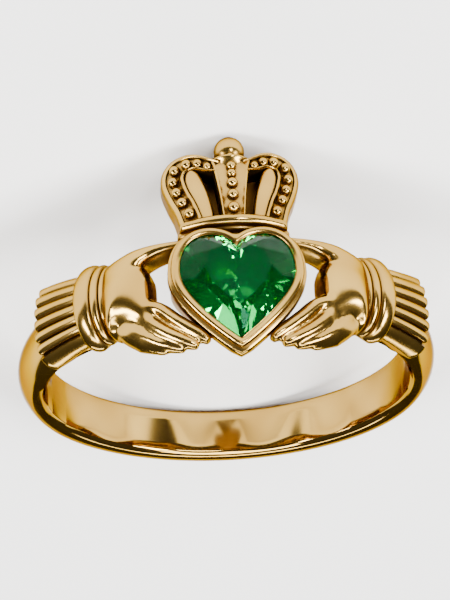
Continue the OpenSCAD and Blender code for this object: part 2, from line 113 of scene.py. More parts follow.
def polished_gold(name, smooth, dull, light="#BD9A50", shade="#A07C38", wave=None):
    """Gold whose high places have the roughness smooth, and whose grooves have the roughness dull."""
    gold = new_material(name)
    place = add_node(gold, "ShaderNodeTexCoord").outputs["Object"]
    swirl = add_node(gold, "ShaderNodeTexNoise", {"Vector": place},
                     Scale=per_metre / polish_mm, Detail=0)
    grain = add_node(gold, "ShaderNodeTexNoise", {"Vector": place},
                     Scale=per_metre / scratch_mm, Detail=3)
    # Ambient occlusion finds the grooves and recesses. There the gold is rougher and painted dark
    # brown: partly the pickle's oxide, partly painted shade.
    reach = add_node(gold, "ShaderNodeAmbientOcclusion", samples=8, Distance=groove_mm / per_metre)
    high = add_node(gold, "ShaderNodeMapRange", {"Value": reach.outputs["AO"]},
                    interpolation_type="SMOOTHSTEP", From_Min=groove_open, From_Max=1.0)
    tone = add_node(gold, "ShaderNodeMix", {"Factor": swirl.outputs["Fac"]}, data_type="RGBA")
    tone.inputs["A"].default_value = linear(shade)
    tone.inputs["B"].default_value = linear(light)
    worn = add_node(gold, "ShaderNodeMix", {"Factor": high.outputs["Result"]}, data_type="RGBA")
    worn.inputs["A"].default_value = linear(groove_gold)
    gold.node_tree.links.new(tone.outputs["Result"], worn.inputs["B"])
    rough = add_node(gold, "ShaderNodeMapRange", {"Value": high.outputs["Result"]},
                     To_Min=dull, To_Max=smooth)
    bump = add_node(gold, "ShaderNodeBump", {"Height": grain.outputs["Fac"]},
                    Strength=scratch_share, Distance=scratch_deep_mm / per_metre)
    soft = add_node(gold, "ShaderNodeBump",
                    {"Height": swirl.outputs["Fac"], "Normal": bump.outputs["Normal"]},
                    Strength=1.0, Distance=polish_deep_mm / per_metre)
    shader = add_node(gold, "ShaderNodeBsdfPrincipled",
                      {"Base Color": worn.outputs["Result"], "Roughness": rough.outputs["Result"],
                       "Normal": soft.outputs["Normal"]},
                      Metallic=1.0, Specular_Tint=linear(glancing_gold))
    add_node(gold, "ShaderNodeOutputMaterial", {"Surface": shader.outputs["BSDF"]})
    if wave:
        wave(gold, place, soft)
    return gold


wave_mm = 3.4
wave_slope = 0.09
wave_low = 0.36
wave_high = 0.64
wave_fade = 0.1


def hand_waves(gold, place, soft):
    """Gives the inside of the band the slow twists that hand polishing leaves, and no swirl."""
    upright = add_node(gold, "ShaderNodeMapping", {"Vector": place}, vector_type="TEXTURE",
                       Location=laid.translation, Rotation=turned.to_euler())
    flat = add_node(gold, "ShaderNodeVectorMath", {0: upright.outputs["Vector"]}, operation="MULTIPLY")
    flat.inputs[1].default_value = (1, 1, 0)
    wave = add_node(gold, "ShaderNodeTexNoise", {"Vector": flat.outputs["Vector"]},
                    Scale=per_metre / wave_mm, Detail=0)
    slope = add_node(gold, "ShaderNodeMapRange", {"Value": wave.outputs["Fac"]},
                     From_Min=wave_low, From_Max=wave_high, To_Min=-wave_slope, To_Max=wave_slope)
    along = add_node(gold, "ShaderNodeSeparateXYZ", {"Vector": upright.outputs["Vector"]})
    height = add_node(gold, "ShaderNodeMath", {0: slope.outputs["Result"], 1: along.outputs["Z"]},
                      operation="MULTIPLY")
    radius = add_node(gold, "ShaderNodeVectorMath", {0: flat.outputs["Vector"]}, operation="LENGTH")
    inside = add_node(gold, "ShaderNodeMapRange", {"Value": radius.outputs["Value"]},
                      From_Min=(finger_r + bore_gap) / per_metre,
                      From_Max=(finger_r + bore_gap + wave_fade) / per_metre, To_Min=1, To_Max=0)
    bars = add_node(gold, "ShaderNodeBump",
                    {"Height": height.outputs["Value"], "Strength": inside.outputs["Result"]},
                    Distance=1.0)
    soft.inputs["Distance"].default_value = 0
    gold.node_tree.links.new(bars.outputs["Normal"], soft.inputs["Normal"])


wheel_polished_gold = polished_gold("wheel_polished_gold", 0.09, 0.3, wave=hand_waves)
tumbled_gold = polished_gold("tumbled_cast_gold", 0.17, 0.4)
# A dark gold for the crown wall's front: painted shade in the deep openings between the arches.
pickled_gold = polished_gold("painted_shade_dark_gold", 0.4, 0.5, "#80561F", "#573815")


# Shank
# The band round the finger: D-shaped in section, thickest at the back, its sides tapering to the
# back. It is one casting with the head. Its edges are eased and its dome is polished.
shank_w = 2.4
shoulder_w = 2.9
shank_t = 1.45
shoulder_t = 1.2
edge_bevel = 0.18
edge_ease = 0.05
shank_dome = 0.76
dome_steps = 20
dome_share = 0.97
shift_fade = 0.3
cuff_a = 57
shank_end = 33
shank_steps = 132


def smooth_row(rows, place_in_rows):
    """Reads a table at a place between its rows, on a smooth line through them."""
    last = len(rows) - 1
    i = min(int(place_in_rows), last - 1)
    t = place_in_rows - i
    out = []
    for a, b, c, d in zip(rows[max(i - 1, 0)], rows[i], rows[i + 1], rows[min(i + 2, last)]):
        out.append((2 * b + (c - a) * t + (2 * a - 5 * b + 4 * c - d) * t * t
                    + (3 * b - a - 3 * c + d) * t ** 3) / 2)
    return out


def smooth_rows(rows, steps):
    return [smooth_row(rows, k * (len(rows) - 1) / steps) for k in range(steps + 1)]


def skin(bm, loops):
    """Bridges loops of points into one closed skin with filled ends."""
    rings = []
    for loop in loops:
        verts = [bm.verts.new(p) for p in loop]
        rings.append([bm.edges.new((verts[i - 1], verts[i])) for i in range(len(verts))])
    for one, other in zip(rings, rings[1:]):
        bmesh.ops.bridge_loops(bm, edges=one + other)
    bmesh.ops.edgeloop_fill(bm, edges=rings[0])
    bmesh.ops.edgeloop_fill(bm, edges=rings[-1])


def in_scene(name, data):
    """A new object in the scene with this mesh, camera or lamp."""
    thing = bpy.data.objects.new(name, data)
    bpy.context.scene.collection.objects.link(thing)
    return thing


def finished(name, bm, sharp=38, mirrored=False, gold=tumbled_gold):
    """Turns a piece over into its resting place and gives it its gold."""
    if mirrored:
        bmesh.ops.scale(bm, vec=(-1, 1, 1), verts=bm.verts)
    bmesh.ops.recalc_face_normals(bm, faces=bm.faces)
    bmesh.ops.transform(bm, matrix=laid, verts=bm.verts)
    mesh = bpy.data.meshes.new(name)
    bm.to_mesh(mesh)
    bm.free()
    mesh.shade_smooth()
    mesh.set_sharp_from_angle(angle=radians(sharp))
    mesh.materials.append(gold)
    piece = in_scene(name, mesh)
    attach(piece, "root")
    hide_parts("ring_body")
    return piece


shank_shift = (shoulder_t - shank_t) / (1 + cos(radians(cuff_a)))
shank_r = finger_r + shank_t + shank_shift
shank_back = finger_r + shank_t
dome_r = ((shoulder_w / 2) ** 2 + shank_dome ** 2) / (2 * shank_dome)
shoulder_y = -finger_r * cos(radians(cuff_a))
taper = (shoulder_w - shank_w) / 2 / (shank_back - shoulder_y)


def shank_section(angle):
    """The band's section: flat against the finger, eased edges, domed outside."""
    y = -finger_r * cos(radians(angle))
    half = shank_w / 2 + taper * (shank_back - y)
    edge = [(finger_r, half - edge_bevel - edge_ease),
            (finger_r + edge_ease * 0.3, half - edge_bevel),
            (finger_r + edge_bevel - edge_ease * 0.3, half - edge_ease * 0.6),
            (finger_r + edge_bevel + edge_ease * 0.5, half)]
    centre = shank_r - dome_r
    reach = asin(half / dome_r)
    edge.append((centre + dome_r * cos(reach) - edge_ease, half))
    outline = [(finger_r, -half / 2), (finger_r, 0), (finger_r, half / 2)] + edge
    for k in range(dome_steps + 1):
        t = reach * dome_share * (1 - 2 * k / dome_steps)
        outline.append((centre + dome_r * cos(t), dome_r * sin(t)))
    outline += [(r, -z) for r, z in reversed(edge)]
    section = []
    for r, z in outline:
        p = around(angle, r, z)
        p.y -= shank_shift * min(1, max(0, (r - finger_r - edge_bevel) / shift_fade))
        section.append(p)
    return section


bm = bmesh.new()
skin(bm, [shank_section(mix(shank_end, 360 - shank_end, k / shank_steps))
          for k in range(shank_steps + 1)])
finished("shank", bm, gold=wheel_polished_gold)


# Cuffs
# Two sleeves that the band slides into, flaring away from the wrists. Rounded flutes run along
# them, cut into the wax before casting, and a plain lip ends them.
# Angles are degrees from the head's middle, and sizes at the hole stand out from its wall.
wrist_a = 42
cuff_h = 2.05
cuff_d = 2.15
sleeve_mid = 0.95
sleeve_square = 0.25
flutes = 7
flute_d = 0.26
flute_steps = 12
plain_strip = 0.19
sleeve_foot = 0.66
foot_steps = 10
cuff_steps = 12
lip_a = 0.75

# The pieces of the left side mirror those of the right.
sides = (("right", False), ("left", True))

# Shares of the cuff's height, depth and flutes that it has at the wrist
at_wrist = (0.82, 0.88, 0.75)

# Columns: degrees past the flutes' end, millimetres that the lip stands out, share of the flutes
cuff_lip = ((0.25, -0.015, 0.96), (0.45, -0.05, 0.9), (0.62, -0.11, 0.8), (0.66, -0.26, 0.3))


def squared(value, square):
    """A sine or cosine that makes a circle squarer as square rises."""
    return (1 if value >= 0 else -1) * abs(value) ** (1 - square)


def even_turns(half, out):
    """Angles round the sleeve's section, from underside to top, that lie equally far apart on it."""
    fine_steps = 720
    fine = [radians(-90 + 180 * k / fine_steps) for k in range(fine_steps + 1)]
    points = [Vector((out * squared(cos(t), sleeve_square), half * squared(sin(t), sleeve_square)))
              for t in fine]
    lengths = [0]
    for a, b in zip(points, points[1:]):
        lengths.append(lengths[-1] + (b - a).length)
    turns = []
    i = 0
    count = flutes * flute_steps
    for k in range(-flute_steps, count + 1):
        share = mix(plain_strip, 1, k / count) if k >= 0 else plain_strip * (1 + k / flute_steps)
        while i < fine_steps - 1 and lengths[i + 1] < share * lengths[-1]:
            i += 1
        step = (share * lengths[-1] - lengths[i]) / (lengths[i + 1] - lengths[i])
        turns.append(mix(fine[i], fine[i + 1], min(1, step)))
    return turns


turns = even_turns(cuff_h, cuff_d - sleeve_mid)


def sleeve_loop(angle, half, out, ripple):
    """A section of the sleeve, from its underside over the outside to its top and back inside."""
    loop = []
    for k, t in enumerate(turns):
        x = 2 * (k % flute_steps) / flute_steps - 1
        cut = 0 if k < flute_steps else ripple * (1 - sqrt(1 - x * x))
        radius = finger_r + sleeve_mid + (out - sleeve_mid - cut) * squared(cos(t), sleeve_square)
        loop.append(around(angle, radius, (half - cut) * squared(sin(t), sleeve_square)))
    foot = half * sleeve_foot
    for k in range(foot_steps + 1):
        loop.append(around(angle, finger_r + bore_gap, mix(foot, -foot, k / foot_steps)))
    return loop


def cuff_loops():
    flute_end = cuff_a - lip_a
    loops = []
    for k in range(cuff_steps + 1):
        high, deep, fluted = [mix(share, 1, k / cuff_steps) for share in at_wrist]
        loops.append(sleeve_loop(mix(wrist_a - 1, flute_end, k / cuff_steps),
                                 cuff_h * high, cuff_d * deep, flute_d * fluted))
    for past, grow, fluted in cuff_lip:
        loops.append(sleeve_loop(flute_end + past, cuff_h + grow, cuff_d + grow, flute_d * fluted))
    return loops


for side, mirrored in sides:
    bm = bmesh.new()
    skin(bm, cuff_loops())
    finished("cuff_" + side, bm, sharp=50, mirrored=mirrored)


# Wrist rings
# Between cuff and hand lie three rounded rings side by side, a large one at the cuff and two small
# ones at the hand. They are turned in the wax, and wrap under the wrist.
wrist_h = 2.05
wrist_d = 2.3
ring_widths = (0.8, 0.4, 0.28)
ring_sizes = (1, 0.93, 0.87)
ring_valley = 0.87
ring_round = 2.2
ring_steps = 10
wrap_a = 104
wrap_steps = 44
wrist_foot = 0.7
wrist_foot_steps = 8
arc_mm = pi * (finger_r + sleeve_mid) / 180
hand_root = wrist_a - sum(ring_widths) / arc_mm


def wrist_loop(angle, size):
    """A section of the rings, from their top over the outside to the underside and back inside."""
    loop = []
    for k in range(wrap_steps + 1):
        t = radians(wrap_a - 2 * wrap_a * k / wrap_steps)
        radius = finger_r + sleeve_mid + (wrist_d - sleeve_mid) * size * cos(t)
        loop.append(around(angle, radius, wrist_h * size * sin(t)))
    foot = wrist_h * size * wrist_foot
    for k in range(wrist_foot_steps + 1):
        loop.append(around(angle, finger_r + bore_gap, mix(-foot, foot, k / wrist_foot_steps)))
    return loop


def wrist_loops():
    loops = []
    angle = wrist_a
    for width, size in zip(ring_widths, ring_sizes):
        for k in range(ring_steps + 1):
            s = 2 * k / ring_steps - 1
            swell = mix(ring_valley, 1, sqrt(max(0, 1 - abs(s) ** ring_round)))
            loops.append(wrist_loop(angle - width * (s + 1) / 2 / arc_mm, size * swell))
        angle -= width / arc_mm
    return loops


for side, mirrored in sides:
    bm = bmesh.new()
    skin(bm, wrist_loops())
    finished("wrist_rings_" + side, bm, sharp=60, mirrored=mirrored)


# Heart
# The heart's outline carries the setting, the hands and the crown: two smooth curves on each
# side, in shares of half its width.
stone_w = 5
heart_half = stone_w / 2
heart_z = 0.05 * heart_half
head_d = 2.25
head_r = finger_r + head_d
heart_lobe = ((0, 0.44), (0.27, 0.82), (1, 0.77), (1, 0))
heart_flank = ((1, 0), (1, -0.45), (0.29, -1.03), (0, -1.27))
heart_steps = 28
corner_keep = 0.93
notch_w = 0.02
notch_rise = 0.35


def bezier(points, t):
    shares = ((1 - t) ** 3, 3 * (1 - t) ** 2 * t, 3 * (1 - t) * t * t, t ** 3)
    return Vector([sum(w * p[axis] for w, p in zip(shares, points)) for axis in (0, 1)])


right_half = [bezier(heart_lobe, k / heart_steps) for k in range(heart_steps)]
right_half += [bezier(heart_flank, k / heart_steps) for k in range(heart_steps + 1)]
left_half = [Vector((-p.x, p.y)) for p in right_half[-2:0:-1]]
heart_outline = [p * heart_half + Vector((0, heart_z)) for p in right_half + left_half]


def grown(points, distance):
    """The outline moved outwards, with its sides kept from crossing in the notch, where it starts."""
    out = []
    for i, p in enumerate(points):
        before = (p - points[i - 1]).normalized()
        after = (points[(i + 1) % len(points)] - p).normalized()
        one, other = Vector((-before.y, before.x)), Vector((-after.y, after.x))
        middle = (one + other).normalized()
        out.append(p + middle * distance / max(middle.dot(one), corner_keep))
    clear = next(i for i in range(1, len(out)) if out[i].x > notch_w * i)
    if clear > 1:
        low = out[clear].y + (out[clear].y - out[clear + 1].y) * notch_rise
        for i in range(clear):
            share = i / clear
            out[i] = Vector((out[clear].x * share, mix(low, out[clear].y, share)))
            out[-i] = Vector((-out[i].x, out[i].y))
    return out


def standing(points, depth):
    """The outline in a plane that faces the front, at a depth from the finger's axis."""
    return [Vector((p.x, -depth, p.y)) for p in points]


def drawn_in(points, across, up):
    """The outline made smaller or larger about the heart's middle."""
    return [Vector((p.x * across, heart_z + (p.y - heart_z) * up)) for p in points]


# Hands
# Each hand is a rounded back with its thumb over the heart's shoulder and four fingers laid along
# its flank. Modelled in wax as one soft form, so back and thumb run into each other.
palm_h = 1.75
palm_d = 2.5
finger_t = 0.36
limb_sides = 28
wax_grain = 0.055
tip_x = 0.53 * heart_half
hand_tip = degrees(asin(tip_x / (finger_r + palm_d)))

# Rounds of smoothing, each on the share of the hand that lies before it, counted from the wrist
softening = ((0.3, 24), (0.36, 20), (0.42, 16), (0.5, 8), (2, 8))

# The web between thumb and fingers leans back under the hand: degrees for each millimetre below the
# back's surface, and its place and reach in shares of the hand
undercut = 2.6
back_share = 0.85
web_place = 0.36
web_reach = 0.3

# Columns: share from wrist to fingertip, depth of the middle in shares of the back's, height of the
# middle in shares of half the heart, half width and half depth
palm_rows = (
    (-0.05, 0.38, -0.08, palm_h * 0.96, palm_d * 0.36),
    (0.06, 0.42, -0.08, palm_h * 1.06, palm_d * 0.46),
    (0.16, 0.45, -0.11, palm_h * 1.10, palm_d * 0.53),
    (0.24, 0.48, -0.20, palm_h * 0.94, palm_d * 0.49),
    (0.31, 0.51, -0.33, palm_h * 0.66, palm_d * 0.43),
    (0.38, 0.54, -0.49, palm_h * 0.42, palm_d * 0.36),
    (0.48, 0.56, -0.66, palm_h * 0.28, palm_d * 0.28))
thumb_rows = (
    (0.02, 0.42, 0.30, palm_h * 0.44, palm_d * 0.40),
    (0.16, 0.43, 0.38, palm_h * 0.43, palm_d * 0.46),
    (0.30, 0.43, 0.52, palm_h * 0.36, palm_d * 0.44),
    (0.42, 0.42, 0.63, palm_h * 0.26, palm_d * 0.38),
    (0.54, 0.42, 0.69, finger_t * 0.90, palm_d * 0.34),
    (0.68, 0.41, 0.72, finger_t * 0.72, palm_d * 0.32),
    (0.86, 0.40, 0.74, finger_t * 0.68, palm_d * 0.31))
index_rows = (
    (0.22, 0.62, -0.20, finger_t * 1.1, palm_d * 0.26),
    (0.37, 0.66, -0.38, finger_t * 1.0, palm_d * 0.22),
    (0.53, 0.65, -0.50, finger_t * 1.0, palm_d * 0.24),
    (0.66, 0.65, -0.72, finger_t * 0.98, palm_d * 0.22),
    (0.78, 0.64, -0.90, finger_t * 0.98, palm_d * 0.20),
    (0.89, 0.64, -1.05, finger_t * 0.86, palm_d * 0.17),
    (0.97, 0.65, -1.17, finger_t * 0.5, palm_d * 0.11))
middle_rows = (
    (0.26, 0.53, -0.28, finger_t * 1.1, palm_d * 0.29),
    (0.36, 0.60, -0.52, finger_t * 1.14, palm_d * 0.27),
    (0.47, 0.63, -0.77, finger_t * 1.10, palm_d * 0.24),
    (0.59, 0.64, -0.96, finger_t * 1.02, palm_d * 0.21),
    (0.71, 0.65, -1.10, finger_t * 0.88, palm_d * 0.18),
    (0.80, 0.65, -1.19, finger_t * 0.72, palm_d * 0.15),
    (0.865, 0.65, -1.25, finger_t * 0.45, palm_d * 0.10))
ring_rows = (
    (0.20, 0.50, -0.58, finger_t * 0.95, palm_d * 0.27),
    (0.29, 0.57, -0.78, finger_t * 0.94, palm_d * 0.25),
    (0.39, 0.60, -0.95, finger_t * 0.88, palm_d * 0.22),
    (0.50, 0.60, -1.09, finger_t * 0.80, palm_d * 0.19),
    (0.60, 0.61, -1.17, finger_t * 0.74, palm_d * 0.16),
    (0.68, 0.61, -1.23, finger_t * 0.62, palm_d * 0.13),
    (0.735, 0.61, -1.27, finger_t * 0.4, palm_d * 0.09))
little_rows = (
    (0.06, 0.44, -0.66, finger_t * 0.95, palm_d * 0.26),
    (0.18, 0.51, -0.83, finger_t * 0.86, palm_d * 0.23),
    (0.29, 0.55, -0.96, finger_t * 0.76, palm_d * 0.20),
    (0.39, 0.56, -1.07, finger_t * 0.66, palm_d * 0.17),
    (0.48, 0.56, -1.15, finger_t * 0.60, palm_d * 0.14),
    (0.54, 0.56, -1.21, finger_t * 0.50, palm_d * 0.12),
    (0.58, 0.56, -1.25, finger_t * 0.34, palm_d * 0.08))


def limb(bm, rows, steps, square):
    """A closed limb through rows, round in section, or squarer as square rises."""
    rows = smooth_rows(rows, steps)
    angles = [mix(hand_root, hand_tip, r[0]) for r in rows]
    mids = [around(a, finger_r + palm_d * r[1], heart_half * r[2]) for a, r in zip(angles, rows)]
    loops = []
    for i, (a, r) in enumerate(zip(angles, rows)):
        along = (mids[min(i + 1, steps)] - mids[max(i - 1, 0)]).normalized()
        across = along.cross(around(a, 1, 0)).normalized()
        up = across.cross(along)
        loop = []
        for k in range(limb_sides):
            t = 2 * pi * k / limb_sides
            loop.append(mids[i] + across * r[3] * squared(cos(t), square)
                        + up * r[4] * squared(sin(t), square))
        loops.append(loop)
    skin(bm, loops)


def fused(bm, grain_mm):
    """Melts overlapping closed forms into one outer skin. Small hollows left inside it are deleted."""
    mesh = bpy.data.meshes.new("wax")
    bm.to_mesh(mesh)
    bm.free()
    wax = in_scene("wax", mesh)
    remesh = wax.modifiers.new("remesh", "REMESH")
    remesh.mode = "VOXEL"
    remesh.voxel_size = grain_mm
    melted = wax.evaluated_get(bpy.context.evaluated_depsgraph_get())
    bm = bmesh.new()
    bm.from_mesh(melted.to_mesh())
    bpy.data.objects.remove(wax)
    reached = set()
    waiting = [max(bm.verts, key=lambda v: v.co.length)]
    while waiting:
        vert = waiting.pop()
        if vert not in reached:
            reached.add(vert)
            waiting += [edge.other_vert(vert) for edge in vert.link_edges]
    bmesh.ops.delete(bm, geom=[v for v in bm.verts if v not in reached], context="VERTS")
    return bm


def angle_of(vert):
    return degrees(atan2(vert.co.x, -vert.co.y))


for side, mirrored in sides:
    bm = bmesh.new()
    limb(bm, palm_rows, steps=14, square=0.1)
    limb(bm, thumb_rows, steps=20, square=0.25)
    for rows in (index_rows, middle_rows, ring_rows, little_rows):
        limb(bm, rows, steps=24, square=0.05)
    bmesh.ops.recalc_face_normals(bm, faces=bm.faces)
    bm = fused(bm, wax_grain)
    shares = {v: (angle_of(v) - hand_root) / (hand_tip - hand_root) for v in bm.verts}
    for softened, rounds in softening:
        region = [v for v in bm.verts if shares[v] < softened]
        for _ in range(rounds):
            bmesh.ops.smooth_vert(bm, verts=region, factor=0.5,
                                  use_axis_x=True, use_axis_y=True, use_axis_z=True)
    for v in bm.verts:
        radius = hypot(v.co.x, v.co.y)
        sunk = max(0, finger_r + palm_d * back_share - radius)
        lean = undercut * sunk * max(0, 1 - abs(shares[v] - web_place) / web_reach)
        v.co = around(angle_of(v) + lean, max(radius, finger_r + bore_gap), v.co.z)
    finished("hand_" + side, bm, sharp=180, mirrored=mirrored)


# Setting
# A heart-shaped collet holds the stone: a wall, a groove under its rim, and the rim itself, rubbed
# over the stone's girdle and polished round. Its inside is cut to the stone's shape.
rim_w = 0.42
rim_d = 0.36
rim_round = 0.2
rim_steps = 12
rim_middle = 0.6
rim_outside = 0.4
rim_inside = 0.48
inside_drop = 0.45
wall_out = 0.13
wall_d = 0.55
wall_ease = 0.04
lip = 0.08
girdle_sink = 0.12
stone_gap = 0.04
girdle_t = 0.12
stone_depth = 1.5
groove_h = 0.08
groove_in = 0.86
groove = head_r - rim_d
wall_top = groove - groove_h
wall_end = wall_top - wall_d
rim_line = grown(heart_outline, rim_w)
wall_line = grown(heart_outline, rim_w + wall_out)
groove_line = grown(heart_outline, rim_w * groove_in)
seat_depth = head_r - girdle_sink - girdle_t - stone_gap
pocket = grown(heart_outline, lip + stone_gap)

# The back, rounded to the finger hole. It grows out from its middle by these shares, and is narrower
# and lower than the rim by these.
back_shares = (0.04, 0.25, 0.5, 0.75, 1)
back_across = 0.98
back_up = 0.76
loops = []
for share in back_shares:
    loops.append([Vector((p.x, -sqrt((finger_r + bore_gap) ** 2 - p.x ** 2), p.y))
                  for p in drawn_in(rim_line, back_across * share, back_up * share)])

# The wall with its eased edges, and the groove over it
loops += [standing(drawn_in(rim_line, 1.01, 0.9), wall_end - wall_d / 2),
          standing(grown(heart_outline, rim_w + wall_out - wall_ease), wall_end - wall_ease),
          standing(wall_line, wall_end + wall_ease),
          standing(wall_line, wall_top - wall_ease),
          standing(grown(heart_outline, rim_w + wall_out - 0.03), wall_top - 0.01),
          standing(groove_line, groove - 0.02),
          standing(groove_line, groove + 0.02),
          standing(grown(heart_outline, rim_w - 0.02), groove + groove_h - 0.02)]

# The rim, round on its outside and flatter towards the stone
for k in range(rim_steps + 1):
    t = pi * k / rim_steps
    outside = k < rim_steps / 2
    across = rim_w * (rim_middle + (rim_outside if outside else rim_inside) * cos(t))
    drop = rim_round * (1 - sin(t)) * (1 if outside else inside_drop)
    loops.append(standing(grown(heart_outline, max(across, stone_gap)), head_r - drop))

# The stone's seat, from the rim's lip to the pavilion's keel
loops += [standing(grown(heart_outline, stone_gap), head_r - girdle_sink + stone_gap * 1.75),
          standing(pocket, head_r - girdle_sink + stone_gap / 2),
          standing(pocket, seat_depth),
          standing(drawn_in(pocket, 0.67, 0.67), seat_depth - stone_depth * 0.6),
          standing(drawn_in(pocket, 0.2, 0.2), seat_depth - stone_depth)]
bm = bmesh.new()
skin(bm, loops)
finished("setting", bm, sharp=50)


# Heart stone
# A heart-cut green gem, cut and polished to flat facets and held by the rim that laps over it. Its
# own solid has a heart table, star and kite facets and a keeled pavilion. The gem is clear and deep
# green, so the light that comes back from the pavilion shows as paler glints.
green_gem = new_material("polished_green_gem")
gem_shader = add_node(green_gem, "ShaderNodeBsdfPrincipled", Base_Color=linear("#00C256"),
                      Roughness=0.0, IOR=1.58, Transmission_Weight=0.98,
                      Specular_Tint=linear("#2A644A"))
add_node(green_gem, "ShaderNodeOutputMaterial", {"Surface": gem_shader.outputs["BSDF"]})
stone = frame["nodes"]["heart_stone"]
stone.data.materials.clear()
stone.data.materials.append(green_gem)


# Crown mouldings
# The crown stands on a rounded band, with a second one behind it that shows at the ends and above
# the heart. The crown is cast with the head, and all of it follows one bowed front that leans back
# towards its top.
crown_h = 3.95
crown_base = 2.35
base_h = 0.36
moulding_steps = 36
moulding_rounds = 8
end_round = 0.12
end_thin = 0.35
crown_bow = 3.4
crown_lean = 0.55
crown_wall = 0.6
crown_z = heart_z + 0.94 * heart_half
crown_top = crown_z + crown_h
crown_back = finger_r + crown_wall * 0.5


def crown_front(x, z):
    """How far the crown's front stands before the finger's axis."""
    return head_r - x * x / (2 * crown_bow) - crown_lean * max(0, (z - crown_z) / crown_h) ** 2


def on_crown(x, z, back):
    """A point at a depth behind the crown's front."""
    return Vector((x, back - crown_front(x, z), z))


def at_back(x, z, radius):
    """A point on the cylinder round the finger hole that has this radius."""
    return Vector((x, -sqrt(radius ** 2 - x * x), z))


def moulding(bm, half, low, high, sunk):
    """A rounded band across the crown's foot, with rounded ends."""
    middle = (low + high) / 2
    round_r = (high - low) / 2
    loops = []
    for i in range(moulding_steps + 1):
        u = -1 + 2 * i / moulding_steps
        x = half * sin(u * pi / 2)
        end = sqrt(max(0.0, 1 - max(0.0, (abs(x) - half + end_round) / end_round) ** 2))
        swell = mix(end_thin, 1, end)
        loop = []
        for k in range(moulding_rounds + 1):
            t = pi * (k / moulding_rounds - 0.5)
            loop.append(on_crown(x, middle + round_r * swell * sin(t),
                                 sunk + round_r * (1 - cos(t) * swell)))
        loop.append(at_back(x, middle + round_r * swell, finger_r + bore_gap))
        loop.append(at_back(x, middle - round_r * swell, finger_r + bore_gap))
        loops.append(loop)
    skin(bm, loops)


bm = bmesh.new()
moulding(bm, half=crown_base + 0.06, low=crown_z - 0.08, high=crown_z + base_h + 0.04, sunk=-0.06)
moulding(bm, half=crown_base + 0.14, low=crown_z - 0.3, high=crown_z + 0.06, sunk=0.3)
moulding(bm, half=crown_base * 0.5, low=heart_z + 0.5 * heart_half, high=crown_z + base_h / 2,
         sunk=0.5)
finished("crown_base", bm, sharp=60)


# Crown arches
# Three sunk arches rise from the base, two curling in from the sides and one up the middle. Each has
# a broad rounded outer edge and a thin inner one, with a track for the beads between them.
arch_x = 2.57

# Columns: place across in shares of arch_x, height in shares of the crown's, and half width
side_arch_shares = (
    (0.735, 0.06, 0.49), (0.825, 0.265, 0.47), (0.925, 0.43, 0.47), (0.995, 0.585, 0.49),
    (1.015, 0.69, 0.51), (0.98, 0.785, 0.54), (0.895, 0.845, 0.52), (0.74, 0.866, 0.46),
    (0.58, 0.843, 0.39), (0.43, 0.787, 0.36), (0.25, 0.74, 0.30))
middle_arch_shares = ((0, 0.06, 0.49), (0, 0.33, 0.59), (0, 0.575, 0.72), (0, 0.825, 0.90))

# Columns: place across from the outer side at 1 to the inner at -1, and depth behind the front
side_arch_section = (
    (1.0, 0.30), (1.0, 0.10), (0.95, 0.02), (0.86, -0.03), (0.72, -0.04), (0.60, -0.01),
    (0.52, 0.06), (0.46, 0.14), (0.36, 0.17), (0.0, 0.18), (-0.52, 0.17), (-0.62, 0.13),
    (-0.68, 0.05), (-0.75, 0.0), (-0.86, -0.01), (-0.95, 0.03), (-1.0, 0.12), (-1.0, 0.30))
middle_arch_half = (
    (1.0, 0.30), (1.0, 0.10), (0.95, 0.02), (0.87, 0.0), (0.80, 0.04), (0.66, 0.11),
    (0.42, 0.14), (0.2, 0.15))
middle_arch_section = (middle_arch_half + ((0.0, 0.15),)
                       + tuple((-s, d) for s, d in reversed(middle_arch_half)))


def arch_rows(shares):
    return [(across * arch_x, crown_z + up * crown_h, half) for across, up, half in shares]


def sideways(line, i):
    """The direction across a line in the crown's front, towards its outer side."""
    along = [b - a for a, b in zip(line[max(i - 1, 0)], line[min(i + 1, len(line) - 1)])]
    size = sqrt(along[0] ** 2 + along[1] ** 2)
    return along[1] / size, -along[0] / size


def arch(bm, shares, steps, section):
    line = smooth_rows(arch_rows(shares), steps)
    loops = []
    for i, (px, pz, half) in enumerate(line):
        sx, sz = sideways(line, i)
        loop = [on_crown(px + sx * half * s, pz + sz * half * s, d) for s, d in section]
        for s in (-1, -0.5, 0, 0.5, 1):
            loop.append(at_back(px + sx * half * s, pz + sz * half * s, crown_back))
        loops.append(loop)
    skin(bm, loops)


for side, mirrored in sides:
    bm = bmesh.new()
    arch(bm, side_arch_shares, steps=56, section=side_arch_section)
    finished("arch_" + side, bm, sharp=42, mirrored=mirrored)
bm = bmesh.new()
arch(bm, middle_arch_shares, steps=20, section=middle_arch_section)
finished("arch_middle", bm, sharp=42)


# Beads
# Round grains stand in the arches' tracks, cut from the metal and burnished: eight up each side and
# five up the middle, smallest where the side arches go behind the middle one.
bead_d = 0.46
bead_r = bead_d * 0.54
bead_depth = 0.12 - bead_d * 0.08

# Columns: place across in shares of arch_x, height in shares of the crown's, and size
side_bead_shares = (
    (0.756, 0.18, 1.04), (0.864, 0.344, 1), (0.949, 0.497, 1), (1, 0.653, 1.02), (0.963, 0.803, 1.04),
    (0.759, 0.843, 1.02), (0.57, 0.818, 0.9), (0.41, 0.755, 0.75))
middle_bead_shares = ((0, 0.179, 1.04), (0, 0.347, 1), (0, 0.5, 1), (0, 0.629, 0.86), (0, 0.731, 0.92))
mirrored_beads = tuple((-x, z, size) for x, z, size in side_bead_shares)
bm = bmesh.new()
for x, z, size in side_bead_shares + mirrored_beads + middle_bead_shares:
    middle = on_crown(x * arch_x, crown_z + z * crown_h, bead_depth)
    bmesh.ops.create_uvsphere(bm, u_segments=24, v_segments=16, radius=bead_r * size,
                              matrix=Matrix.Translation(middle))
finished("crown_beads", bm, sharp=180)


